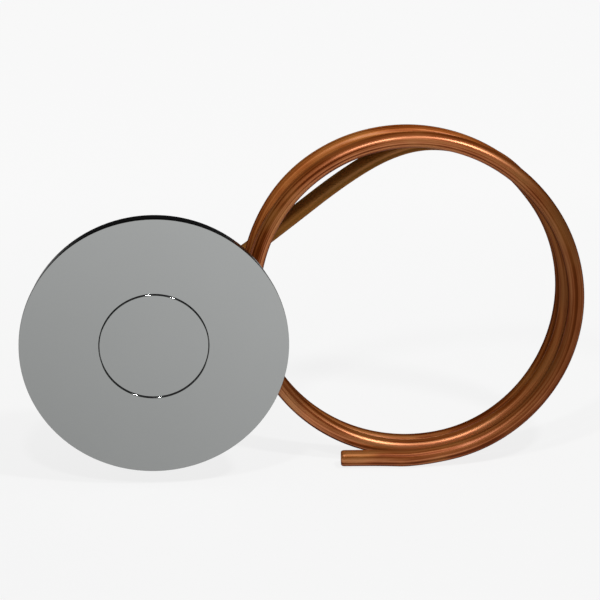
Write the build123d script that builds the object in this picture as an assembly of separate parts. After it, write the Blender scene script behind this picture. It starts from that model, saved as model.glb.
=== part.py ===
from build123d import *
import math
import os

# A wall push button that flushes a cistern by a pulse of air through a copper tube.
# Sizes are in millimetres. Y points into the wall, Z is up, and the wall's face is at Y = 0.
# Turned pieces are drawn about the button's axis, with levels counted from the wall to the user.

# Face plate: a polished steel disc with four welded studs behind it
plate_diameter = 165.0
plate_thickness = 2.0
plate_rim_round = 0.2
plate_hole_round = 0.9
stud_count = 4
stud_diameter = 5.0
stud_length = 9.0
stud_first_angle = 45.0
stud_washer_diameter = 10.0
stud_washer_thickness = 1.0
stud_nut_width = 8.0
stud_nut_height = 4.0

# Button: a steel cap with a welded stud, and the carrier that guides it
button_diameter = 66.7
button_gap = 0.3
button_edge_round = 0.6
button_face_thickness = 1.5
button_skirt_wall = 1.2
button_travel = 6.0
button_stud_diameter = 6.0
plunger_flange_thickness = 3.0
plunger_tail_diameter = 48.0
plunger_tail_length = 3.0
plunger_wall = 2.5
plunger_boss_diameter = 20.0
plunger_rib_count = 6
plunger_rib_thickness = 2.0
plunger_pocket_diameter = 16.0
plunger_pocket_depth = 6.5
plunger_washer_diameter = 13.0
plunger_washer_thickness = 1.2
plunger_nut_width = 10.0
plunger_nut_height = 4.8

# Base housing: a black moulding with a rim, a web and a threaded barrel
base_step_in = 1.8
base_depth = 10.5
base_edge_break = 0.6
web_thickness = 3.0
web_clearance = 0.65
rim_wall = 5.5
stop_ledge = 2.5
barrel_wall = 3.5
barrel_length = 32.5
barrel_lead_in = 1.0
thread_depth = 0.8
end_flange_thickness = 5.0
end_flange_width = 8.0
web_rib_count = 8
web_rib_thickness = 2.5
web_rib_depth = 5.0
rib_root = 0.5
guide_count = 3
guide_width = 4.0
guide_height = 2.0
stop_block_width = 12.0

# Seal on the wall, and the washer and nut behind the panel
gasket_width = 3.2
gasket_thickness = 3.0
gasket_proud = 1.5
panel_thickness = 8.0
slip_washer_width = 9.0
slip_washer_thickness = 2.0
back_nut_wall = 6.0
back_nut_thickness = 10.0
back_nut_lugs = 8
back_nut_lug_height = 4.0
back_nut_lug_width = 12.0

# Bellows: moulded rubber, shut at the button's end and clamped at the other
bellows_clearance = 2.0
bellows_fold_depth = 5.5
bellows_wall = 1.5
bellows_folds = 4
bellows_flange_thickness = 1.5

# Back cap with its screws
cap_thickness = 4.0
cap_rib_count = 8
cap_rib_height = 2.0
cap_rib_thickness = 2.0
cap_hub_diameter = 30.0
screw_count = 4
screw_diameter = 4.0
screw_length = 9.0
screw_head_diameter = 7.6
screw_head_height = 2.6
screw_first_angle = 0.0

# Brass elbow with its compression joint
elbow_angle = 31.0
elbow_leg = 16.5
elbow_bore = 7.0
elbow_body_diameter = 17.0
elbow_flange_width = 22.0
elbow_flange_thickness = 5.0
spigot_diameter = 13.0
spigot_proud = 1.5
elbow_seal_diameter = 21.0
elbow_seal_thickness = 1.5
lock_nut_width = 19.0
lock_nut_height = 5.0
socket_start = 14.0
socket_depth = 10.0
socket_thread_diameter = 16.0
olive_length = 4.5
olive_wall = 1.3
tube_nut_width = 19.0
tube_nut_reach = 8.0
tube_nut_lip = 3.0

# Copper tube: a straight lead, a hand-wound coil and a straight tail
tube_diameter = 10.0
tube_wall = 1.0
lead_straight = 36.0
lead_points = [
    (79.8, 64.7, 48.9),
    (119.9, 66.0, 80.1),
    (149.5, 67.4, 97.1),
    (176.0, 67.4, 101.9),
    (204.2, 65.6, 95.2),
]
tail_points = [
    (138.0, 13.3, -86.7),
    (115.4, 13.4, -86.8),
]
coil_centre = (153.9, 13.6)
coil_plane_y = 52.0
coil_lean = 8.0
coil_radius = 97.0
coil_growth = 0.9
coil_shift = (3.1, -1.9)
coil_turn_gap = 0.6
coil_points_per_turn = 16
coil_first_point = 2

# How far the hand-wound coil strays outside an even winding, one value for each point of its route
coil_stray = [
    0.3, 1.7, 2.2, 2.3, 3.0, 3.2, 1.9, 1.2, 0.6, 0.0, -1.0, -1.4, 0.5,
    1.0, 0.8, 0.5, 0.2, 0.0, 0.0, 0.0, 0.0, 0.0, 0.0, 0.0, 0.0, -0.1,
    -0.7, -1.1, -1.2, -1.0, -0.4, 0.0, 0.0, 0.5, 0.9, 0.5, 0.0, 0.0, 0.0,
]

# Share of the shorter run that each bend of the tube's route takes up
arc_share = 0.45

# Chamfer on the corners of every hexagon, and clearances
hex_chamfer = 0.6
loose_fit = 0.3
close_fit = 0.05
stop_gap = 0.05

# Levels along the button's axis, from the wall's face towards the user
rim_back = gasket_proud
base_front = rim_back + base_depth
web_back = base_front - web_thickness
plate_front = base_front + plate_thickness
cap_inside = plate_front - button_face_thickness
flange_front = web_back - stop_gap
flange_back = flange_front - plunger_flange_thickness
plunger_back = flange_back - plunger_tail_length
press_stop = flange_back - button_travel - stop_gap
groove_bottom = gasket_thickness
slip_front = -panel_thickness
nut_front = slip_front - slip_washer_thickness
nut_back = nut_front - back_nut_thickness
barrel_back = -barrel_length
end_flange_front = barrel_back + end_flange_thickness
cap_front = barrel_back - bellows_flange_thickness
cap_back = cap_front - cap_thickness
elbow_seat = cap_back - elbow_seal_thickness
elbow_level = elbow_seat - elbow_leg

# Radii shared by pieces that fit each other
plate_radius = plate_diameter / 2
button_radius = button_diameter / 2
plate_hole_radius = button_radius + button_gap
button_inside_radius = button_radius - button_skirt_wall
base_radius = plate_radius - base_step_in
rim_inside_radius = base_radius - rim_wall
opening_radius = button_radius + web_clearance
bore_radius = opening_radius + stop_ledge
barrel_radius = bore_radius + barrel_wall
thread_root_radius = barrel_radius - thread_depth
end_flange_radius = bore_radius - end_flange_width
bellows_radius = end_flange_radius - bellows_clearance
stud_circle = (barrel_radius + rim_inside_radius) / 2
groove_middle = (base_radius + rim_inside_radius) / 2
screw_circle = bore_radius - end_flange_width / 2
screw_radius = screw_diameter / 2
tube_radius = tube_diameter / 2
coil_pitch = tube_diameter + coil_turn_gap

axis_frame = Plane(origin=(0, 0, 0), x_dir=(1, 0, 0), z_dir=(0, -1, 0)).location
from_below = (Align.CENTER, Align.CENTER, Align.MIN)


def turned(*points):
    """A solid of revolution about the axis, from an outline of (radius, level) points."""
    return revolve(Plane.XZ * Polygon(*points, align=None), Axis.Z)


def ring(outer, inner, front, back):
    """A plain ring between two levels."""
    return turned((inner, back), (outer, back), (outer, front), (inner, front))


def rod(radius, front, back):
    """A plain round bar between two levels."""
    return Pos(0, 0, back) * Cylinder(radius, front - back, align=from_below)


def hexagon(width, front, back):
    """A hexagonal bar between two levels, with its width across the flats and its corners turned off."""
    bar = Pos(0, 0, back) * extrude(RegularPolygon(width / 2, 6, major_radius=False), front - back)
    corner = width / math.sqrt(3)
    flat = corner - 2 * hex_chamfer
    corners = turned(
        (0, back),
        (flat, back),
        (corner, back + hex_chamfer),
        (corner, front - hex_chamfer),
        (flat, front),
        (0, front),
    )
    return bar & corners


def around(circle, count, first_angle, piece):
    """Copies of a piece, spaced evenly on a circle about the axis."""
    return [place * piece for place in PolarLocations(circle, count, first_angle)]


def face_plate():
    plate = ring(plate_radius, plate_hole_radius, plate_front, base_front)
    edges = plate.edges().filter_by(GeomType.CIRCLE).group_by(Axis.Z)[-1].sort_by(SortBy.RADIUS)
    plate = fillet(edges[0], plate_hole_round)
    edges = plate.edges().filter_by(GeomType.CIRCLE).group_by(Axis.Z)[-1].sort_by(SortBy.RADIUS)
    plate = fillet(edges[-1], plate_rim_round)
    stud = rod(stud_diameter / 2, base_front, base_front - stud_length)
    return plate + around(stud_circle, stud_count, stud_first_angle, stud)


def plate_washers():
    washer = ring(
        stud_washer_diameter / 2,
        stud_diameter / 2 + close_fit,
        web_back,
        web_back - stud_washer_thickness,
    )
    return around(stud_circle, stud_count, stud_first_angle, washer)


def plate_nuts():
    front = web_back - stud_washer_thickness
    back = front - stud_nut_height
    nut = hexagon(stud_nut_width, front, back) - rod(stud_diameter / 2 + close_fit, front, back)
    return around(stud_circle, stud_count, stud_first_angle, nut)


def button_cap():
    shell = turned(
        (0, cap_inside),
        (button_inside_radius, cap_inside),
        (button_inside_radius, flange_front),
        (button_radius, flange_front),
        (button_radius, plate_front),
        (0, plate_front),
    )
    rim = shell.edges().filter_by(GeomType.CIRCLE).group_by(Axis.Z)[-1]
    shell = fillet(rim, button_edge_round)
    return shell + rod(button_stud_diameter / 2, cap_inside, plunger_back + loose_fit)


def plunger():
    hub_radius = button_inside_radius - close_fit
    flange_radius = bore_radius - loose_fit
    pocket_radius = plunger_pocket_diameter / 2
    pocket_floor = plunger_back + plunger_pocket_depth
    stud_hole = button_stud_diameter / 2 + close_fit
    body = turned(
        (stud_hole, pocket_floor),
        (pocket_radius, pocket_floor),
        (pocket_radius, plunger_back),
        (plunger_tail_diameter / 2, plunger_back),
        (plunger_tail_diameter / 2, flange_back),
        (flange_radius, flange_back),
        (flange_radius, flange_front),
        (hub_radius, flange_front),
        (hub_radius, cap_inside),
        (stud_hole, cap_inside),
    )
    core_radius = hub_radius - plunger_wall
    core = ring(core_radius, plunger_boss_diameter / 2, cap_inside, flange_front)
    rib = Pos(0, 0, flange_front) * Box(
        core_radius, plunger_rib_thickness, cap_inside - flange_front, align=from_below
    )
    core -= around(core_radius / 2, plunger_rib_count, 0, rib)
    body -= core
    notch = Box(2 * (guide_height + loose_fit), guide_width + 2 * loose_fit, 2 * base_depth)
    return body - around(bore_radius, guide_count, 90, notch)


def plunger_washer():
    front = plunger_back + plunger_pocket_depth
    hole = button_stud_diameter / 2 + close_fit
    return ring(plunger_washer_diameter / 2, hole, front, front - plunger_washer_thickness)


def plunger_nut():
    front = plunger_back + plunger_pocket_depth - plunger_washer_thickness
    back = front - plunger_nut_height
    hole = rod(button_stud_diameter / 2 + close_fit, front, back)
    return hexagon(plunger_nut_width, front, back) - hole


def base_housing():
    groove_out = groove_middle + gasket_width / 2
    groove_in = groove_middle - gasket_width / 2
    body = turned(
        (opening_radius, web_back),
        (opening_radius, base_front),
        (base_radius - base_edge_break, base_front),
        (base_radius, base_front - base_edge_break),
        (base_radius, rim_back),
        (groove_out, rim_back),
        (groove_out, groove_bottom),
        (groove_in, groove_bottom),
        (groove_in, rim_back),
        (rim_inside_radius, rim_back),
        (rim_inside_radius, web_back),
        (barrel_radius, web_back),
        (barrel_radius, 0),
        (thread_root_radius, 0),
        (thread_root_radius, barrel_back + barrel_lead_in),
        (thread_root_radius - barrel_lead_in, barrel_back),
        (end_flange_radius, barrel_back),
        (end_flange_radius, end_flange_front),
        (bore_radius, end_flange_front),
        (bore_radius, web_back),
    )
    rib_reach = rim_inside_radius - barrel_radius + 2 * rib_root
    rib = Pos(0, 0, web_back - web_rib_depth) * Box(
        rib_reach, web_rib_thickness, web_rib_depth + rib_root, align=from_below
    )
    body += around(stud_circle, web_rib_count, 180 / web_rib_count, rib)
    guide = Pos(0, 0, press_stop) * Box(
        guide_height + barrel_wall / 2, guide_width, web_back - press_stop, align=from_below
    )
    guide += Pos(0, 0, end_flange_front) * Box(
        guide_height + barrel_wall / 2, stop_block_width, press_stop - end_flange_front, align=from_below
    )
    guide_circle = bore_radius + barrel_wall / 4 - guide_height / 2
    body += around(guide_circle, guide_count, 90, guide)
    stud_hole = rod(stud_diameter / 2 + loose_fit, base_front, web_back)
    body -= around(stud_circle, stud_count, stud_first_angle, stud_hole)
    screw_hole = rod(screw_radius + close_fit, end_flange_front, barrel_back)
    return body - around(screw_circle, screw_count, screw_first_angle, screw_hole)


def wall_gasket():
    half = gasket_width / 2 - close_fit
    return ring(groove_middle + half, groove_middle - half, gasket_thickness, 0)


def slip_washer():
    inner = barrel_radius + loose_fit
    return ring(inner + slip_washer_width, inner, slip_front, nut_front)


def back_nut():
    inner = thread_root_radius + close_fit
    outer = barrel_radius + back_nut_wall
    body = rod(outer, nut_front, nut_back)
    lug = Pos(0, 0, nut_back) * Box(
        2 * back_nut_lug_height, back_nut_lug_width, back_nut_thickness, align=from_below
    )
    body += around(outer, back_nut_lugs, 0, lug)
    return body - rod(inner, nut_front, nut_back)


def bellows():
    top = plunger_back - stop_gap
    outer = bellows_radius
    fold = (top - bellows_wall - barrel_back) / bellows_folds
    outside = [(0, top), (outer - bellows_fold_depth, top)]
    inside = [(0, top - bellows_wall), (outer - bellows_fold_depth - bellows_wall, top - bellows_wall)]
    for count in range(bellows_folds):
        crest = top - bellows_wall - (count + 0.5) * fold
        root = top - bellows_wall - (count + 1) * fold
        outside += [(outer, crest), (outer - bellows_fold_depth, root)]
        inside += [
            (outer - bellows_wall, crest),
            (outer - bellows_fold_depth - bellows_wall, max(root, cap_front)),
        ]
    flange_radius = bore_radius
    flange = [(flange_radius, barrel_back), (flange_radius, cap_front)]
    inside_foot = (inside[-1][0], cap_front)
    outline = outside + flange + [inside_foot] + list(reversed(inside))
    screw_hole = rod(screw_radius + close_fit, barrel_back, cap_front)
    return turned(*outline) - around(screw_circle, screw_count, screw_first_angle, screw_hole)


def back_cap():
    rim_radius = thread_root_radius - barrel_lead_in
    hole = spigot_diameter / 2 + close_fit
    body = ring(rim_radius, hole, cap_front, cap_back)
    hub_radius = cap_hub_diameter / 2
    reach = rim_radius - hub_radius
    rib = Pos(0, 0, cap_back - cap_rib_height) * Box(
        reach, cap_rib_thickness, cap_rib_height + rib_root, align=from_below
    )
    body += around(hub_radius + reach / 2, cap_rib_count, 180 / cap_rib_count, rib)
    screw_hole = rod(screw_radius + close_fit, cap_front, cap_back)
    return body - around(screw_circle, screw_count, screw_first_angle, screw_hole)


def cap_screws():
    tip = cap_back + screw_length
    screw = rod(screw_radius, tip, cap_back) + rod(
        screw_head_diameter / 2, cap_back, cap_back - screw_head_height
    )
    return around(screw_circle, screw_count, screw_first_angle, screw)


def elbow_seal():
    return ring(elbow_seal_diameter / 2, spigot_diameter / 2 + close_fit, cap_back, elbow_seat)


def elbow_lock_nut():
    front = cap_front + lock_nut_height
    hole = rod(spigot_diameter / 2 + close_fit, front, cap_front)
    return hexagon(lock_nut_width, front, cap_front) - hole


def along_outlet(piece):
    """Turn a piece drawn along the axis so that it lies along the elbow's outlet."""
    return Pos(0, 0, elbow_level) * Rot(0, 0, elbow_angle) * Rot(0, 90, 0) * piece


socket_end = socket_start + socket_depth
olive_end = socket_end + olive_length
tube_nut_start = socket_end - tube_nut_reach
tube_nut_end = olive_end + tube_nut_lip


def outlet_elbow():
    body_radius = elbow_body_diameter / 2
    spigot_top = cap_front + lock_nut_height + spigot_proud
    body = Pos(0, 0, elbow_level) * Sphere(body_radius)
    body += rod(body_radius, elbow_seat, elbow_level)
    body += hexagon(elbow_flange_width, elbow_seat, elbow_seat - elbow_flange_thickness)
    body += rod(spigot_diameter / 2, spigot_top, elbow_seat)
    body += along_outlet(rod(body_radius, tube_nut_start - loose_fit, 0))
    body += along_outlet(rod(socket_thread_diameter / 2, socket_end, 0))
    body -= rod(elbow_bore / 2, spigot_top, elbow_level)
    body -= along_outlet(rod(elbow_bore / 2, socket_end, 0))
    return body - along_outlet(rod(tube_radius + close_fit, socket_end, socket_start))


def compression_olive():
    inside = tube_radius + close_fit
    middle = (socket_end + olive_end) / 2
    start = socket_end + close_fit
    return along_outlet(
        turned(
            (inside, start),
            (inside + olive_wall / 2, start),
            (inside + olive_wall, middle),
            (inside + olive_wall / 2, olive_end),
            (inside, olive_end),
        )
    )


def compression_nut():
    thread = socket_thread_diameter / 2 + close_fit
    lip = tube_radius + loose_fit
    cavity = turned(
        (0, tube_nut_start),
        (thread, tube_nut_start),
        (thread, (socket_end + olive_end) / 2),
        (lip, olive_end + olive_wall),
        (lip, tube_nut_end),
        (0, tube_nut_end),
    )
    return along_outlet(hexagon(tube_nut_width, tube_nut_end, tube_nut_start) - cavity)


def coil_point(step, stray):
    """A point of the coil's route: a flat helix that leans back and creeps sideways as it winds."""
    turn = step / coil_points_per_turn
    angle = math.radians(90 - 360 * turn)
    even_radius = coil_radius + coil_growth * turn
    radius = even_radius / math.cos(math.pi / coil_points_per_turn) + stray
    across = coil_centre[0] + coil_shift[0] * turn + radius * math.cos(angle)
    rise = coil_centre[1] + coil_shift[1] * turn + radius * math.sin(angle)
    ahead = coil_pitch * turn
    lean = math.radians(coil_lean)
    depth = coil_plane_y + rise * math.sin(lean) - ahead * math.cos(lean)
    height = rise * math.cos(lean) + ahead * math.sin(lean)
    return (across, depth, height)


def tube_route():
    outlet = math.radians(elbow_angle)
    start = [
        (reach * math.cos(outlet), -elbow_level, reach * math.sin(outlet))
        for reach in (socket_start, socket_start + lead_straight)
    ]
    coil = [coil_point(coil_first_point + count, stray) for count, stray in enumerate(coil_stray)]
    return [Vector(*point) for point in start + lead_points + coil + tail_points]


def tube_path():
    """Straight runs joined by tangent arcs, each arc as large as its two runs allow."""
    points = tube_route()
    radii = []
    for before, corner, after in zip(points, points[1:], points[2:]):
        run = min((corner - before).length, (after - corner).length)
        half_turn = math.radians((corner - before).get_angle(after - corner)) / 2
        radii.append(arc_share * run / math.tan(half_turn))
    path = FilletPolyline(*points, radius=radii)
    print("tube length", round(path.length, 1), "arc radii", [round(radius) for radius in radii])
    return path


def copper_tube():
    path = tube_path()
    end = Plane(origin=path @ 0, z_dir=path % 0)
    section = Circle(tube_radius) - Circle(tube_radius - tube_wall)
    tube = sweep(end * section, path=path)
    print("tube volume over section", round(tube.volume / section.area, 1))
    return tube


turned_pieces = [
    face_plate,
    plate_washers,
    plate_nuts,
    button_cap,
    plunger,
    plunger_washer,
    plunger_nut,
    base_housing,
    wall_gasket,
    slip_washer,
    back_nut,
    bellows,
    back_cap,
    cap_screws,
    elbow_seal,
    elbow_lock_nut,
    outlet_elbow,
    compression_olive,
    compression_nut,
]

os.makedirs("parts", exist_ok=True)
for make in turned_pieces:
    made = make()
    solids = made if isinstance(made, list) else [made]
    placed = [axis_frame * solid for solid in solids]
    node = placed[0] if len(placed) == 1 else Compound(children=placed)
    export_step(node, f"parts/{make.__name__}.step")
export_step(copper_tube(), "parts/copper_tube.step")
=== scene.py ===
import math

import bpy
from mathutils import Euler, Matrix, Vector


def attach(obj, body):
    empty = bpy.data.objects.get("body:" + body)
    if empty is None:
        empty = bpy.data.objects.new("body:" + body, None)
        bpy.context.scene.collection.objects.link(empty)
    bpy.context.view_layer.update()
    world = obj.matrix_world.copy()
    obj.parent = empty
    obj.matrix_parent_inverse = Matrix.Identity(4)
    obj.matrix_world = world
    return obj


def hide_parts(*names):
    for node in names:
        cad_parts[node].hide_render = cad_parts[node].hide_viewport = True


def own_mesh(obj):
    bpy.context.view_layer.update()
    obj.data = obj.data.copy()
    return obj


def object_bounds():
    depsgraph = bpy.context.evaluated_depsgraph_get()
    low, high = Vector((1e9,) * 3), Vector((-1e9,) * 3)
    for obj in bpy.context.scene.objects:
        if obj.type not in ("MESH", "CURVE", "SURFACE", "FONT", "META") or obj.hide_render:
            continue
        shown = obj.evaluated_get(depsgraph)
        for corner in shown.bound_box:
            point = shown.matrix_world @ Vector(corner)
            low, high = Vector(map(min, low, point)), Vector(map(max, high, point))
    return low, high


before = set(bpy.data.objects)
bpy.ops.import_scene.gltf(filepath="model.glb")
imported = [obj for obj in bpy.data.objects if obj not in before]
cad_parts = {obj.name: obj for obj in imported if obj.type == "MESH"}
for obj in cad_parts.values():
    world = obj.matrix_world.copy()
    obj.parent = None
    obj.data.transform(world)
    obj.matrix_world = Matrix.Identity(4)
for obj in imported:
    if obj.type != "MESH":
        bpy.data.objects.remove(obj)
cad_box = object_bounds()


# Base housing: the black body that carries everything, with a rim, a ribbed web and a barrel.
# It is moulded in one piece from a glass-filled plastic with a spark-eroded satin skin.
# The barrel goes through the wall panel and has a coarse thread for the back nut.
class Wire:
    """A socket on which Python's operators add Math nodes."""

    def __init__(self, recipe, socket):
        self.recipe = recipe
        self.socket = socket

    def math(self, operation, first, second):
        return self.recipe.node("ShaderNodeMath", {"operation": operation}, {0: first, 1: second})

    def __add__(self, other):
        return self.math("ADD", self, other)

    def __radd__(self, other):
        return self.math("ADD", other, self)

    def __sub__(self, other):
        return self.math("SUBTRACT", self, other)

    def __rsub__(self, other):
        return self.math("SUBTRACT", other, self)

    def __mul__(self, other):
        return self.math("MULTIPLY", self, other)

    def __rmul__(self, other):
        return self.math("MULTIPLY", other, self)


class Recipe:
    """A node tree whose nodes are all made by one method."""

    def __init__(self, tree):
        self.tree = tree

    def put(self, socket, value):
        if isinstance(value, Wire):
            self.tree.links.new(value.socket, socket)
        else:
            socket.default_value = value

    def node(self, kind, settings=None, sockets=None, out=0):
        made = self.tree.nodes.new(kind)
        for name, value in (settings or {}).items():
            if name == "stops":
                elements = made.color_ramp.elements
                while len(elements) < len(value):
                    elements.new(1.0)
                for element, (position, colour) in zip(elements, value):
                    element.position = position
                    element.color = (*colour, 1.0)
            else:
                setattr(made, name, value)
        for name, value in (sockets or {}).items():
            self.put(made.inputs[name], value)
        return Wire(self, made.outputs[out])

    def along(self, place, axis):
        """One coordinate of a place."""
        return self.node("ShaderNodeSeparateXYZ", None, {"Vector": place}, out=axis)

    def ramp(self, value, stops):
        """A colour that follows a value from stop to stop."""
        return self.node("ShaderNodeValToRGB", {"stops": stops}, {"Fac": value})


class Finish(Recipe):
    """A material with one Principled shader, whose fixed values are set on its own sockets."""

    def __init__(self, name, **fixed):
        self.material = bpy.data.materials.new(name)
        self.material.use_nodes = True
        super().__init__(self.material.node_tree)
        self.shader = self.tree.nodes["Principled BSDF"]
        for socket, value in fixed.items():
            self.set(socket.replace("_", " ").title().replace("Ior", "IOR"), value)

    def set(self, socket, value):
        self.put(self.shader.inputs[socket], value)

    def place(self):
        """Where a point lies on the object, in metres."""
        return self.node("ShaderNodeTexCoord", out="Object")

    def stretch(self, place, factors, start=(0.0, 0.0, 0.0)):
        """A place scaled along each axis, then moved by the start."""
        sockets = {0: place, 1: factors, 2: start}
        return self.node("ShaderNodeVectorMath", {"operation": "MULTIPLY_ADD"}, sockets)

    def noise(self, place, scale=1.0, detail=2.0, roughness=0.5):
        """A soft random value, mostly between 0.3 and 0.7."""
        sockets = {"Vector": place, "Scale": scale, "Detail": detail, "Roughness": roughness}
        return self.node("ShaderNodeTexNoise", None, sockets)

    def span(self, value, given, seen=(0.3, 0.7)):
        """A value that runs over the seen pair, carried over to the given pair and held inside it."""
        ends = {"From Min": seen[0], "From Max": seen[1], "To Min": given[0], "To Max": given[1]}
        return self.node("ShaderNodeMapRange", None, {"Value": value, **ends})

    def mix(self, share, one, other):
        """A colour that goes from one to the other as the share goes from 0 to 1."""
        return self.node("ShaderNodeMix", {"data_type": "RGBA"}, {0: share, 6: one, 7: other}, out=2)

    def relief(self, height, depth, strength):
        """Fine bumps, with their depth in metres."""
        sockets = {"Strength": strength, "Distance": depth, "Height": height}
        self.set("Normal", self.node("ShaderNodeBump", None, sockets))


def dress(finish, *nodes):
    """Gives a finish to pieces that keep the shape of the exact model."""
    for node in nodes:
        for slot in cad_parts[node].material_slots:
            slot.material = finish.material


# The skin is satin, and the rim's side is painted a deeper black as painted shade, where it shows
# behind the plate's top edge.
satin_dark, satin_light = (0.012, 0.012, 0.013, 1), (0.024, 0.024, 0.025, 1)
rim_shade_black, rim_start, rim_end = (0.003, 0.003, 0.0032, 1), 0.0760, 0.0775
grain_share = 0.3
black_plastic = Finish("moulded_black_plastic")
moulding = black_plastic.place()
grain = black_plastic.noise(moulding, scale=1900.0)
flow = black_plastic.noise(moulding, scale=28.0, detail=3.0)
flattened = black_plastic.stretch(moulding, (1.0, 0.0, 1.0))
from_axis = black_plastic.node(
    "ShaderNodeVectorMath", {"operation": "LENGTH"}, {0: flattened}, out="Value"
)
rim_shade_share = black_plastic.span(from_axis, (0.0, 1.0), seen=(rim_start, rim_end))
satin = black_plastic.mix(flow, satin_dark, satin_light)
uneven = flow + grain_share * grain
# The rim's side gets the painted shade's deeper black.
black_plastic.set("Base Color", black_plastic.mix(rim_shade_share, satin, rim_shade_black))
black_plastic.set("Roughness", black_plastic.span(uneven, (0.24, 0.38), seen=(0.35, 0.95)))
black_plastic.relief(grain, depth=0.00002, strength=0.3)
dress(black_plastic, "base_housing")

quarter_turn = math.radians(90)


def shown(name, data):
    """An object in the scene, whose place is in its own data."""
    piece = bpy.data.objects.new(name, data)
    bpy.context.scene.collection.objects.link(piece)
    return piece


class Shaping(Recipe):
    """A Geometry Nodes tree with named sizes, run once and turned into a plain mesh."""

    def __init__(self, name):
        super().__init__(bpy.data.node_groups.new(name, "GeometryNodeTree"))
        self.name = name
        self.tree.interface.new_socket("Start", in_out="INPUT", socket_type="NodeSocketGeometry")
        self.tree.interface.new_socket("Result", in_out="OUTPUT", socket_type="NodeSocketGeometry")
        self.entry = self.tree.nodes.new("NodeGroupInput")
        self.values = {}

    def size(self, name, value, kind="NodeSocketFloat"):
        item = self.tree.interface.new_socket(name, in_out="INPUT", socket_type=kind)
        self.values[item.identifier] = value
        return Wire(self, self.entry.outputs[name])

    def count(self, name, value):
        return self.size(name, value, "NodeSocketInt")

    def start(self):
        """The mesh that the tree is given to work on."""
        return Wire(self, self.entry.outputs["Start"])

    def placed(self, shape, **sockets):
        """A shape turned by its Rotation, then moved by its Translation."""
        return self.node("GeometryNodeTransform", None, {"Geometry": shape, **sockets})

    def ring(self, shape, copies, radius, turn=0.0):
        """Copies of a shape on a circle round the Y axis."""
        corners, reach = self.count("Copies", copies), self.size("Circle radius", radius)
        circle = self.node("GeometryNodeMeshCircle", None, {"Vertices": corners, "Radius": reach})
        upright = self.placed(circle, Rotation=Euler((quarter_turn, turn, 0)))
        return self.node("GeometryNodeInstanceOnPoints", None, {"Points": upright, "Instance": shape})

    def make(self, shape, finish, start=None):
        """The finished piece, which has the tree's name."""
        whole = self.node("GeometryNodeRealizeInstances", None, {"Geometry": shape})
        sockets = {"Geometry": whole, "Material": finish.material}
        painted = self.node("GeometryNodeSetMaterial", None, sockets)
        last = self.tree.nodes.new("NodeGroupOutput")
        self.put(last.inputs["Result"], painted)
        piece = shown(self.name, start or bpy.data.meshes.new(self.name))
        modifier = piece.modifiers.new(self.name, "NODES")
        modifier.node_group = self.tree
        for identifier, value in self.values.items():
            modifier[identifier] = value
        evaluated = piece.evaluated_get(bpy.context.evaluated_depsgraph_get())
        mesh = bpy.data.meshes.new_from_object(evaluated)
        piece.modifiers.remove(modifier)
        piece.data = mesh
        mesh.name = self.name
        return piece


# The thread is a blunt V, swept along a helix on the barrel.
thread_root, thread_height, thread_foot, thread_crest = 0.03915, 0.00085, 0.0019, 0.0007
thread_start, thread_pitch, thread_turns, thread_steps = 0.0012, 0.0025, 11.6, 120
thread = Shaping("barrel_thread")
helix_radius = thread.size("Helix radius", thread_root + thread_height / 2)
helix = thread.node(
    "GeometryNodeCurveSpiral",
    None,
    {
        "Resolution": thread.count("Steps per turn", thread_steps),
        "Rotations": thread.size("Turns", thread_turns),
        "Start Radius": helix_radius,
        "End Radius": helix_radius,
        "Height": thread.size("Rise", thread_pitch * thread_turns),
    },
)
steady_helix = thread.node("GeometryNodeSetCurveNormal", {"mode": "Z_UP"}, {"Curve": helix})
blunt_vee = thread.node(
    "GeometryNodeCurvePrimitiveQuadrilateral",
    {"mode": "TRAPEZOID"},
    {
        "Height": thread.size("Ridge height", thread_height),
        "Bottom Width": thread.size("Foot width", thread_foot),
        "Top Width": thread.size("Crest width", thread_crest),
        "Offset": 0.0,
    },
)
outward_vee = thread.placed(blunt_vee, Rotation=Euler((0, 0, quarter_turn)))
ridge = thread.node(
    "GeometryNodeCurveToMesh",
    None,
    {"Curve": steady_helix, "Profile Curve": outward_vee, "Fill Caps": True},
)
ridge_start, ridge_turn = Vector((0, thread_start, 0)), Euler((-quarter_turn, 0, 0))
laid_ridge = thread.placed(ridge, Translation=ridge_start, Rotation=ridge_turn)
barrel_thread = thread.make(laid_ridge, black_plastic)
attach(barrel_thread, "housing")


# Wall gasket: the ring that seals the base to the wall.
# It is a soft black rubber cord, pressed into the groove in the rim.
rubber_black, bloom_grey = (0.012, 0.012, 0.012, 1), (0.04, 0.04, 0.041, 1)
rubber = Finish("moulded_rubber", ior=1.45)
bloom = rubber.noise(rubber.place(), scale=90.0, detail=4.0, roughness=0.6)
pores = rubber.noise(rubber.place(), scale=2600.0, detail=1.0)
rubber.set("Base Color", rubber.mix(bloom, rubber_black, bloom_grey))
rubber.set("Roughness", rubber.span(bloom, (0.58, 0.78)))
rubber.relief(pores, depth=0.00003, strength=0.5)
dress(rubber, "wall_gasket")


# Face plate: the round steel disc that is seen, with four studs welded to its back.
# It is stamped from stainless sheet and its face is polished to a mirror, with a painted reflection in
# its colour, lighter towards the upper right; the disc's cut side is painted near black as painted
# shade.
steel_reflection_dark, steel_reflection_light = (0.288, 0.296, 0.293, 1), (0.388, 0.398, 0.394, 1)
sideways_share, smear_share, hairline_share = 0.68, 0.03, 0.35
steel = Finish("mirror_steel", metallic=1.0)
spot = steel.place()
smear = steel.noise(spot, scale=22.0, detail=3.0, roughness=0.55)
hairline = steel.noise(steel.stretch(spot, (1.0, 1.0, 0.012)), scale=5200.0, detail=1.0)
# The steel's colour carries a painted reflection: lighter towards the upper right, darker towards the
# lower left.
reflection_slant = sideways_share * steel.along(spot, "X") + steel.along(spot, "Z") + smear_share * smear
painted_reflection = steel.span(reflection_slant, (0.0, 1.0), seen=(-0.085, 0.115))
steel.set("Base Color", steel.mix(painted_reflection, steel_reflection_dark, steel_reflection_light))
handled = smear + hairline_share * hairline
steel.set("Roughness", steel.span(handled, (0.055, 0.095), seen=(0.4, 1.0)))


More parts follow.
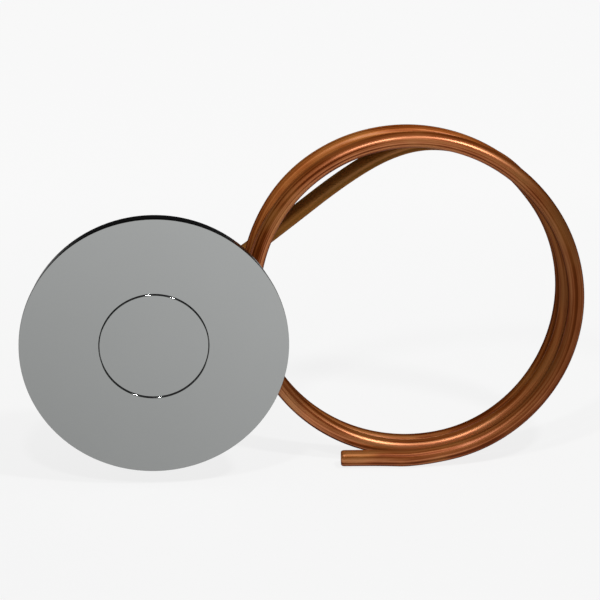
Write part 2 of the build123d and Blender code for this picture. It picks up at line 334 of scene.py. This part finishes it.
def lathe(name, outline, steps, finish, shut=True):
    """A mesh turned about the Y axis, from (radius, y) points that run outwards over its front."""
    verts, faces, rows = [], [], []
    for radius, level in outline:
        row = []
        for step in range(steps if radius > 0.0 else 1):
            angle = 2 * math.pi * step / steps
            row.append(len(verts))
            verts.append((radius * math.cos(angle), level, radius * math.sin(angle)))
        rows.append(row if len(row) > 1 else row * steps)
    pairs = list(zip(rows, rows[1:]))
    if shut:
        pairs.append((rows[-1], rows[0]))
    for near, far in pairs:
        for step in range(steps):
            after = (step + 1) % steps
            corners = [near[step], far[step], far[after], near[after]]
            face = [corner for place, corner in enumerate(corners) if corner not in corners[:place]]
            if len(face) > 2:
                faces.append(face)
    mesh = bpy.data.meshes.new(name)
    mesh.from_pydata(verts, [], faces)
    mesh.materials.append(finish.material)
    mesh.polygons.foreach_set("use_smooth", [True] * len(mesh.polygons))
    mesh.set_sharp_from_angle(angle=math.radians(40))
    return mesh


def rounded(radius, level, size, first, last, steps=10):
    """Points of a rounded edge about a centre, from one angle in degrees to another."""
    angles = [math.radians(first + (last - first) * step / steps) for step in range(steps + 1)]
    return [(radius + size * math.cos(angle), level + size * math.sin(angle)) for angle in angles]


plate_front, plate_back = -0.014, -0.012
plate_radius, hole_radius = 0.0825, 0.03365
rim_round, hole_round, flat_margin = 0.0002, 0.0009, 0.00005
disc_steps, rim_steps = 360, 6
plate_outline = rounded(hole_radius + hole_round, plate_front + hole_round, hole_round, 180, 270)
plate_outline += [(hole_radius + hole_round + flat_margin, plate_front)]
plate_outline += [(plate_radius - rim_round - flat_margin, plate_front)]
plate_outline += rounded(
    plate_radius - rim_round, plate_front + rim_round, rim_round, 270, 360, rim_steps
)
plate_outline += [(plate_radius, plate_back), (hole_radius, plate_back)]
polished_plate = shown("polished_plate", lathe("polished_plate", plate_outline, disc_steps, steel))

# The disc's side has the second finish, painted near black as painted shade: its faces lie beyond the
# flat and don't look forwards.
edge_shade_dark, edge_shade_light, forward_limit = (0.012, 0.012, 0.013, 1), (0.032, 0.031, 0.031, 1), 0.9
shaded_edge = Finish("sheared_steel_edge", metallic=1.0)
tear = shaded_edge.noise(shaded_edge.stretch(shaded_edge.place(), (400.0, 2400.0, 400.0)), detail=3.0)
shaded_edge.set("Base Color", shaded_edge.mix(tear, edge_shade_dark, edge_shade_light))
shaded_edge.set("Roughness", shaded_edge.span(tear, (0.3, 0.5)))
shaded_edge.relief(tear, depth=0.00003, strength=0.4)
polished_plate.data.materials.append(shaded_edge.material)
for polygon in polished_plate.data.polygons:
    reach = math.hypot(polygon.center.x, polygon.center.z)
    if reach > plate_radius - rim_round and abs(polygon.normal.y) < forward_limit:
        polygon.material_index = 1
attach(polished_plate, "housing")
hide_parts("face_plate")

stud_radius, stud_end, stud_chamfer, stud_sides = 0.0025, -0.003, 0.0004, 32
stud_circle, stud_count, stud_turn = 0.0576, 4, math.radians(45)
stud_outline = [(0.0, plate_back), (stud_radius, plate_back), (stud_radius, stud_end - stud_chamfer)]
stud_outline += [(stud_radius - stud_chamfer, stud_end), (0.0, stud_end)]
one_stud = lathe("one_stud", stud_outline, stud_sides, steel, shut=False)
studs = Shaping("plate_studs")
stud_set = studs.ring(studs.start(), stud_count, stud_circle, stud_turn)
plate_studs = studs.make(stud_set, steel, one_stud)
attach(plate_studs, "housing")
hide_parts("face_plate")


# Washers and nuts on the studs: they draw the plate against the base's web.
# They are stock fasteners of bright zinc plated steel, with a faint blue and straw cast.
zinc_blue, zinc_straw = (0.50, 0.53, 0.57, 1), (0.64, 0.62, 0.56, 1)
zinc = Finish("bright_zinc_plate", metallic=1.0)
cast = zinc.noise(zinc.place(), scale=240.0)
crystal = zinc.noise(zinc.place(), scale=3200.0)
zinc.set("Base Color", zinc.mix(cast, zinc_blue, zinc_straw))
zinc.set("Roughness", zinc.span(crystal, (0.26, 0.4)))
zinc.relief(crystal, depth=0.00001, strength=0.4)
dress(zinc, "plate_washers", "plate_nuts")


# Button: a shallow cap of the same polished steel on a white carrier.
# A stud welded inside the cap holds the carrier, which is moulded, with a washer and a nut.
cap_radius, cap_round, skirt_inside = 0.03335, 0.0006, 0.03215
skirt_end, cap_inside = -0.00895, -0.0125
cap_stud_radius, cap_stud_end = 0.003, -0.00325
cap_outline = [(0.0, plate_front), (cap_radius - cap_round - flat_margin, plate_front)]
cap_outline += rounded(cap_radius - cap_round, plate_front + cap_round, cap_round, 270, 360)
cap_outline += [(cap_radius, skirt_end), (skirt_inside, skirt_end), (skirt_inside, cap_inside)]
cap_outline += [(cap_stud_radius, cap_inside), (cap_stud_radius, cap_stud_end), (0.0, cap_stud_end)]
polished_cap = shown("polished_cap", lathe("polished_cap", cap_outline, disc_steps, steel, shut=False))
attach(polished_cap, "button")
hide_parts("button_cap")

acetal_cream, acetal_white = (0.70, 0.69, 0.65, 1), (0.79, 0.78, 0.75, 1)
acetal = Finish("moulded_white_acetal", ior=1.48)
cloud = acetal.noise(acetal.place(), scale=45.0, detail=3.0)
skin = acetal.noise(acetal.place(), scale=2100.0, detail=1.0)
acetal.set("Base Color", acetal.mix(cloud, acetal_cream, acetal_white))
acetal.set("Roughness", acetal.span(skin, (0.28, 0.4)))
acetal.relief(skin, depth=0.00002, strength=0.4)
dress(acetal, "plunger")
dress(zinc, "plunger_washer", "plunger_nut")


# Bellows: four soft folds between the carrier and the back cap.
# It is moulded in rubber with round folds, shut at the button's end and flanged at the other.
bellows_top, bellows_foot, bellows_back = -0.0029, 0.0325, 0.034
bellows_crest, bellows_root, bellows_wall, bellows_sides = 0.0265, 0.021, 0.0015, 96
fold_count, fold_points, fold_lead, fold_fullness = 4, 96, 0.0022, 0.8
corner_reach, corner_round = 0.0016, 0.0005
flange_radius, flange_round = 0.0365, 0.0003
fold_start = bellows_top + fold_lead
outer_wall = []
for step in range(fold_points + 1):
    share = step / fold_points
    swing = 0.5 - 0.5 * math.cos(2 * math.pi * fold_count * share)
    radius = bellows_root + (bellows_crest - bellows_root) * swing ** fold_fullness
    outer_wall.append((radius, fold_start + share * (bellows_foot - fold_start)))
inner_wall = [(radius - bellows_wall, level) for radius, level in reversed(outer_wall)]
inner_wall[0] = (inner_wall[0][0], bellows_back)
bellows_outline = [(0.0, bellows_top), (bellows_root - corner_reach, bellows_top)]
bellows_outline += [(bellows_root - corner_round, bellows_top + corner_round)]
bellows_outline += outer_wall
bellows_outline += [(flange_radius - flange_round, bellows_foot)]
bellows_outline += [(flange_radius, bellows_foot + flange_round)]
bellows_outline += [(flange_radius, bellows_back - flange_round)]
bellows_outline += [(flange_radius - flange_round, bellows_back)]
bellows_outline += inner_wall
bellows_outline += [(0.0, bellows_top + bellows_wall)]
bellows_mesh = lathe("rubber_bellows", bellows_outline, bellows_sides, rubber, shut=False)
rubber_bellows = shown("rubber_bellows", bellows_mesh)
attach(rubber_bellows, "housing")
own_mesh(rubber_bellows)
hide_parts("bellows")


# Back cap and its screws: the cap clamps the bellows' flange to the end of the barrel.
# The cap is moulded with eight ribs, and four pan-head screws with a cross recess hold it.
dress(black_plastic, "back_cap")
cap_back, screw_tip, screw_circle, screw_count, screw_sides = 0.038, 0.029, 0.0325, 4, 40
shank_radius, tip_taper, tip_length = 0.002, 0.0005, 0.0008
head_radius, head_height, head_edge = 0.0038, 0.0026, 0.0002
crown_angles, crown_breadth, crown_fullness = (90, 78, 66, 54, 42, 30, 18, 8, 0), 0.6, 0.75
screw_outline = [(0.0, screw_tip), (shank_radius - tip_taper, screw_tip)]
screw_outline += [(shank_radius, screw_tip + tip_length), (shank_radius, cap_back)]
screw_outline += [(head_radius - head_edge, cap_back)]
for degrees in crown_angles:
    angle = math.radians(degrees)
    level = cap_back + head_height * math.cos(angle) ** crown_fullness
    screw_outline.append((head_radius * math.sin(angle) ** crown_breadth, level))
one_screw = lathe("one_screw", screw_outline, screw_sides, zinc, shut=False)

# The recess is a round well with two crossed blades. Cutting leaves a few tiny edges, which are merged.
recess_length, recess_width, recess_depth = 0.0040, 0.0009, 0.0015
well_mouth, well_floor, well_depth, well_sides = 0.00078, 0.00066, 0.0019, 20
well_turn = Euler((quarter_turn, math.radians(9), 0))
screws = Shaping("pan_head_screws")
head_top = screws.size("Head top", cap_back + head_height)
well_top = screws.size("Well top", cap_back + head_height + well_depth)
blade_long = screws.size("Recess length", recess_length)
blade_short = screws.size("Recess width", recess_width)
blade_height = screws.size("Blade height", 2 * recess_depth)
smallest_edge = screws.size("Smallest edge", 0.00003)
well = screws.node(
    "GeometryNodeMeshCone",
    None,
    {
        "Vertices": screws.count("Well sides", well_sides),
        "Radius Top": screws.size("Well floor radius", well_floor),
        "Radius Bottom": screws.size("Well mouth radius", well_mouth),
        "Depth": screws.size("Well height", 2 * well_depth),
    },
)
well_place = screws.node("ShaderNodeCombineXYZ", None, {"Y": well_top})
cutters = [screws.placed(well, Translation=well_place, Rotation=well_turn)]
blade_place = screws.node("ShaderNodeCombineXYZ", None, {"Y": head_top})
for breadth, length in ((blade_short, blade_long), (blade_long, blade_short)):
    blade_size = screws.node(
        "ShaderNodeCombineXYZ", None, {"X": breadth, "Y": blade_height, "Z": length}
    )
    blade = screws.node("GeometryNodeMeshCube", None, {"Size": blade_size})
    cutters.append(screws.placed(blade, Translation=blade_place))
screw = screws.start()
for cutter in cutters:
    screw = screws.node(
        "GeometryNodeMeshBoolean", {"operation": "DIFFERENCE"}, {"Mesh 1": screw, "Mesh 2": cutter}
    )
screw = screws.node("GeometryNodeMergeByDistance", None, {"Geometry": screw, "Distance": smallest_edge})
pan_head_screws = screws.make(screws.ring(screw, screw_count, screw_circle), zinc, one_screw)
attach(pan_head_screws, "housing")
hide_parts("cap_screws")


# Outlet elbow: the fitting that turns the air's way towards the tube, with its seal and nuts.
# It is machined from brass bar and shows turning marks and a little brown tarnish.
brass_stops = [(0.3, (0.30, 0.17, 0.05)), (0.5, (0.52, 0.34, 0.11)), (0.72, (0.66, 0.47, 0.19))]
brass = Finish("machined_brass", metallic=1.0)
turning = brass.noise(brass.place(), scale=1500.0, detail=1.0)
tarnish = brass.noise(brass.place(), scale=130.0, detail=4.0, roughness=0.6)
brass.set("Base Color", brass.ramp(tarnish, brass_stops))
brass.set("Roughness", brass.span(tarnish, (0.42, 0.24)))
brass.relief(turning, depth=0.00001, strength=0.4)
dress(brass, "outlet_elbow", "elbow_lock_nut", "compression_olive", "compression_nut")
dress(rubber, "elbow_seal")


# Copper tube: it carries the pulse of air to the cistern's valve.
# It is drawn soft copper of 10 mm, wound by hand to a loose coil, and cut with a wheel cutter.
outlet_angle, outlet_depth = math.radians(31.0), 0.056
tube_start, nut_mouth, first_bend = 0.014, 0.0315, 0.038


def along_outlet(reach):
    """A point on the elbow's outlet line, by its distance from the button's axis."""
    return (reach * math.cos(outlet_angle), outlet_depth, reach * math.sin(outlet_angle))


lead = [
    (0.0505, 0.0585, 0.0268),
    (0.0800, 0.0642, 0.0481),
    (0.1199, 0.0660, 0.0801),
    (0.1495, 0.0674, 0.0971),
    (0.1760, 0.0674, 0.1019),
    (0.2042, 0.0656, 0.0952),
]
tail = [(0.1380, 0.0133, -0.0867), (0.1154, 0.0134, -0.0868)]

# The coil is a leaning helix that grows, drifts and sinks a little with each turn. Each of its
# points also strays from the even radius, as a hand leaves it, by so many millimetres.
coil_radius, radius_growth = 0.097, 0.0009
coil_across, across_drift = 0.1539, 0.0031
coil_rise, rise_loss = 0.0136, 0.0019
coil_depth, coil_pitch, coil_lean = 0.052, 0.0106, math.radians(8.0)
coil_steps, coil_first = 16, 2
coil_stray = [
    0.3, 1.7, 2.2, 2.3, 3.0, 3.2, 1.9, 1.2, 0.6, 0.0, -0.8, -0.5, 1.0,
    1.0, 0.8, 0.5, 0.2, 0.0, 0.0, 0.0, 0.0, 0.0, 0.0, 0.0, 0.0, -0.1,
    -0.7, -1.1, -1.2, -1.0, -0.4, 0.0, 0.0, 0.5, 0.9, 0.5, 0.0, 0.0, 0.0,
]
coil = []
for count, stray in enumerate(coil_stray):
    turn = (coil_first + count) / coil_steps
    angle = quarter_turn - 2 * math.pi * turn
    radius = (coil_radius + radius_growth * turn) / math.cos(math.pi / coil_steps) + stray / 1000
    across = coil_across + across_drift * turn + radius * math.cos(angle)
    rise = coil_rise - rise_loss * turn + radius * math.sin(angle)
    ahead = coil_pitch * turn
    inward = coil_depth + rise * math.sin(coil_lean) - ahead * math.cos(coil_lean)
    coil.append((across, inward, rise * math.cos(coil_lean) + ahead * math.sin(coil_lean)))
route = [along_outlet(tube_start), along_outlet(first_bend)] + lead + coil + tail

line_steps, line_order = 12, 3
line = bpy.data.curves.new("tube_line", "CURVE")
line.dimensions = "3D"
line.resolution_u = line_steps
spline = line.splines.new("NURBS")
spline.points.add(len(route) - 1)
for control, place in zip(spline.points, route):
    control.co = (*place, 1.0)
spline.use_endpoint_u = True
spline.order_u = line_order
guide = shown("tube_line", line)
traced = bpy.data.meshes.new_from_object(guide.evaluated_get(bpy.context.evaluated_depsgraph_get()))
tube_path = [vertex.co.copy() for vertex in traced.vertices]
bpy.data.objects.remove(guide)

path_end = len(tube_path) - 1
tangents = []
for index in range(len(tube_path)):
    before, after = tube_path[max(index - 1, 0)], tube_path[min(index + 1, path_end)]
    tangents.append((after - before).normalized())
sides = [tangents[0].orthogonal().normalized()]
for before, after in zip(tangents, tangents[1:]):
    sides.append((before.rotation_difference(after) @ sides[-1]).normalized())
reaches = [0.0]
for before, after in zip(tube_path, tube_path[1:]):
    reaches.append(reaches[-1] + (after - before).length)
tube_length = reaches[-1]

# The cutter's wheel rolled the end inwards: pairs of how far back from the end and what radius,
# in millimetres, from the outside into the bore.
tube_radius, bore_radius, tube_sides, cut_zone = 0.005, 0.004, 48, 0.003
cut_edge = [
    (2.4, 5.0), (1.5, 4.95), (0.8, 4.78), (0.3, 4.5), (0.0, 4.1),
    (0.1, 3.75), (0.6, 3.6), (1.6, 3.75), (2.6, 4.0),
]
whole = [index for index, reach in enumerate(reaches) if reach < tube_length - cut_zone]
rings = [(index, 0.0, tube_radius) for index in whole]
rings += [(path_end, back / 1000, radius / 1000) for back, radius in cut_edge]
rings += [(index, 0.0, bore_radius) for index in reversed(whole)]
tube_verts, straight = [], []
for index, back, radius in rings:
    side, other_side = sides[index], tangents[index].cross(sides[index])
    centre = tube_path[index] - back * tangents[index]
    for count in range(tube_sides):
        angle = 2 * math.pi * count / tube_sides
        tube_verts.append(centre + radius * (math.cos(angle) * side + math.sin(angle) * other_side))
        straight += [radius * math.cos(angle), radius * math.sin(angle), reaches[index] - back]
tube_faces = []
for index in range(len(rings)):
    near, far = index * tube_sides, (index + 1) % len(rings) * tube_sides
    for count in range(tube_sides):
        after = (count + 1) % tube_sides
        tube_faces.append((near + count, near + after, far + after, far + count))
tube_mesh = bpy.data.meshes.new("wound_tube")
tube_mesh.from_pydata(tube_verts, [], tube_faces)
tube_mesh.polygons.foreach_set("use_smooth", [True] * len(tube_mesh.polygons))
tube_mesh.attributes.new("straight", "FLOAT_VECTOR", "POINT").data.foreach_set("vector", straight)


def greys(tones):
    """A ramp's stops in plain grey, from pairs of a position and a tone."""
    return [(position, (tone, tone, tone)) for position, tone in tones]


# Drawing left streaks along the tube. Two stretches are dull and an olive film lies on the lead and
# in patches; the coil's side away from the plate is painted brown as painted shade, and the tail's
# tone is raised as a painted highlight.
copper_stops = [
    (0.42, (0.11, 0.020, 0.002)),
    (0.475, (0.24, 0.055, 0.008)),
    (0.525, (0.36, 0.098, 0.018)),
    (0.57, (0.50, 0.165, 0.042)),
]
dull_stops = greys([(0.05, 0.75), (0.14, 0.55), (0.25, 0.05), (0.38, 0.60), (0.50, 0.65), (0.60, 0.05)])
olive_film, right_shade_brown = (0.38, 0.175, 0.035, 1), (0.07, 0.018, 0.003, 1)
streak_share, drawn_share, patch_share, ragged_edge = 0.5, 0.3, 0.2, 0.03
dull_cover, dull_roughness = 0.5, 0.25
copper = Finish(
    "drawn_copper",
    specular_ior_level=0.0,
    specular_tint=(0.02, 0.006, 0.002, 1),
    coat_ior=4.0,
    coat_roughness=0.36,
)
unrolled = copper.node("ShaderNodeAttribute", {"attribute_name": "straight"}, out="Vector")
streak = copper.noise(copper.stretch(unrolled, (380.0, 380.0, 5.0), start=(24.1, 24.1, 24.1)))
drawn = copper.noise(copper.stretch(unrolled, (1000.0, 1000.0, 10.0)), detail=1.0)
patch = copper.noise(copper.stretch(unrolled, (70.0, 70.0, 28.0)), detail=3.0)
share_along = copper.along(unrolled, "Z") * (1.0 / tube_length)
# The tail's tone is raised towards its end as a painted highlight.
tail_painted_highlight = copper.span(share_along, (0.0, 0.03), seen=(0.86, 0.94))
tone = streak_share * streak + drawn_share * drawn + patch_share * patch + tail_painted_highlight
metal = copper.ramp(tone, copper_stops)
dull = copper.ramp(share_along, dull_stops)
olive_lead = copper.span(share_along, (0.6, 0.0), seen=(0.08, 0.17))
olive_patch = copper.span(patch, (0.0, 0.4), seen=(0.5, 0.72))
filmed = copper.mix(olive_lead + olive_patch, metal, olive_film)
# The coil's side away from the plate is darkened towards brown: painted shade.
shade_across = copper.along(copper.place(), "X") + ragged_edge * patch
brown = copper.span(shade_across, (0.0, 0.55), seen=(0.205, 0.265))
bare = copper.span(tone, (0.4, 0.65), seen=(0.42, 0.58))
gleam = copper.span(tone, (0.02, 0.12), seen=(0.45, 0.55))
copper.set("Base Color", copper.mix(brown, filmed, right_shade_brown))
copper.set("Metallic", bare * (1.0 - dull_cover * dull))
copper.set("Roughness", copper.span(streak, (0.42, 0.34)) + dull_roughness * dull)
copper.set("Coat Weight", gleam * (1.0 - dull) * (1.0 - brown))
copper.relief(streak, depth=0.00006, strength=0.6)
tube_mesh.materials.append(copper.material)
wound_tube = shown("wound_tube", tube_mesh)
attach(wound_tube, "housing")
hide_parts("copper_tube")


# Slip washer and back nut: they clamp the wall panel against the gasket.
# The washer is white plastic, so that the nut slides on it, and the nut is the base's black plastic.
dress(acetal, "slip_washer")
dress(black_plastic, "back_nut")


# Studio: a pale seamless floor under the coil, two small lamps, a wide soft lamp and a long lens.
# The floor looks white to the lens and in reflections, and keeps a share of its own tone for the
# shadow. The lens looks down from a little to the left of the button's axis.
paper_grey, paper_light = (0.60, 0.60, 0.60, 1), (0.62, 0.62, 0.62, 1)
paper = Finish("pale_paper", ior=1.3, roughness=0.95)
fibre = paper.noise(paper.place(), scale=60.0, detail=4.0, roughness=0.6)
paper.set("Base Color", paper.mix(fibre, paper_grey, paper_light))
camera_ray, glossy_ray, through_ray = [
    paper.node("ShaderNodeLightPath", out=kind)
    for kind in ("Is Camera Ray", "Is Glossy Ray", "Is Transmission Ray")
]
white = paper.node("ShaderNodeEmission", None, {"Color": (1, 1, 1, 1), "Strength": 1.0})
dyed = Wire(paper, paper.shader.outputs["BSDF"])
white_share = paper.span(paper.along(paper.place(), "Y"), (0.78, 0.92), seen=(-0.3, 0.5))
whitened = paper.node(
    "ShaderNodeMixShader",
    None,
    {0: white_share * (camera_ray + glossy_ray + through_ray), 1: dyed, 2: white},
)
paper.put(paper.tree.nodes["Material Output"].inputs["Surface"], whitened)
floor_reach, floor_level = 3.0, cad_box[0][2]
floor_corners = [(-1, -1), (1, -1), (1, 1), (-1, 1)]
floor_verts = [(floor_reach * x, floor_reach * y, floor_level) for x, y in floor_corners]
floor_mesh = bpy.data.meshes.new("floor")
floor_mesh.from_pydata(floor_verts, [], [(0, 1, 2, 3)])
floor_mesh.materials.append(paper.material)
floor = shown("floor", floor_mesh)

scene = bpy.context.scene
scene.view_settings.view_transform = "Standard"
wall_stops = greys([(0.0, 0.06), (0.12, 0.03), (0.40, 0.015)])
room = bpy.data.worlds.new("room")
room.use_nodes = True
walls = Recipe(room.node_tree)
upward = walls.along(walls.node("ShaderNodeTexCoord", out="Generated"), "Z")
walls.put(room.node_tree.nodes["Background"].inputs["Color"], walls.ramp(upward, wall_stops))
scene.world = room

lamp_distance, lamp_width, lamp_target = 1.2, 0.11, Vector((0.0, plate_front, 0.0))


def lamp(name, towards, watts):
    """A round lamp that stands in a direction from the plate's middle and shines on it."""
    light = bpy.data.lights.new(name, "AREA")
    light.shape = "DISK"
    light.size = lamp_width
    light.energy = watts
    direction = Vector(towards).normalized()
    holder = shown(name, light)
    holder.location = lamp_target + lamp_distance * direction
    holder.rotation_euler = direction.to_track_quat("Z", "Y").to_euler()


lamp("left_lamp", (-0.098, -0.59, 0.80), 6.2)
lamp("right_lamp", (0.439, -0.40, 0.80), 7.2)
sky = bpy.data.lights.new("soft_overhead", "SUN")
sky.energy, sky.angle = 0.5, math.radians(120)
overhead = shown("soft_overhead", sky)
overhead.visible_glossy = False

aim = Vector((0.08963, 0.0, 0.02347))
azimuth, elevation, lens_distance = math.radians(-2.0), math.radians(21.2), 5.0
picture_width, sensor_width = 0.3664, 36.0
level_share = math.cos(elevation)
towards_lens = Vector(
    (math.sin(azimuth) * level_share, -math.cos(azimuth) * level_share, math.sin(elevation))
)
camera = bpy.data.cameras.new("long_lens")
camera.sensor_width = sensor_width
camera.lens = sensor_width * lens_distance / picture_width
tripod = shown("long_lens", camera)
tripod.location = aim + lens_distance * towards_lens
tripod.rotation_euler = towards_lens.to_track_quat("Z", "Y").to_euler()
scene.camera = tripod
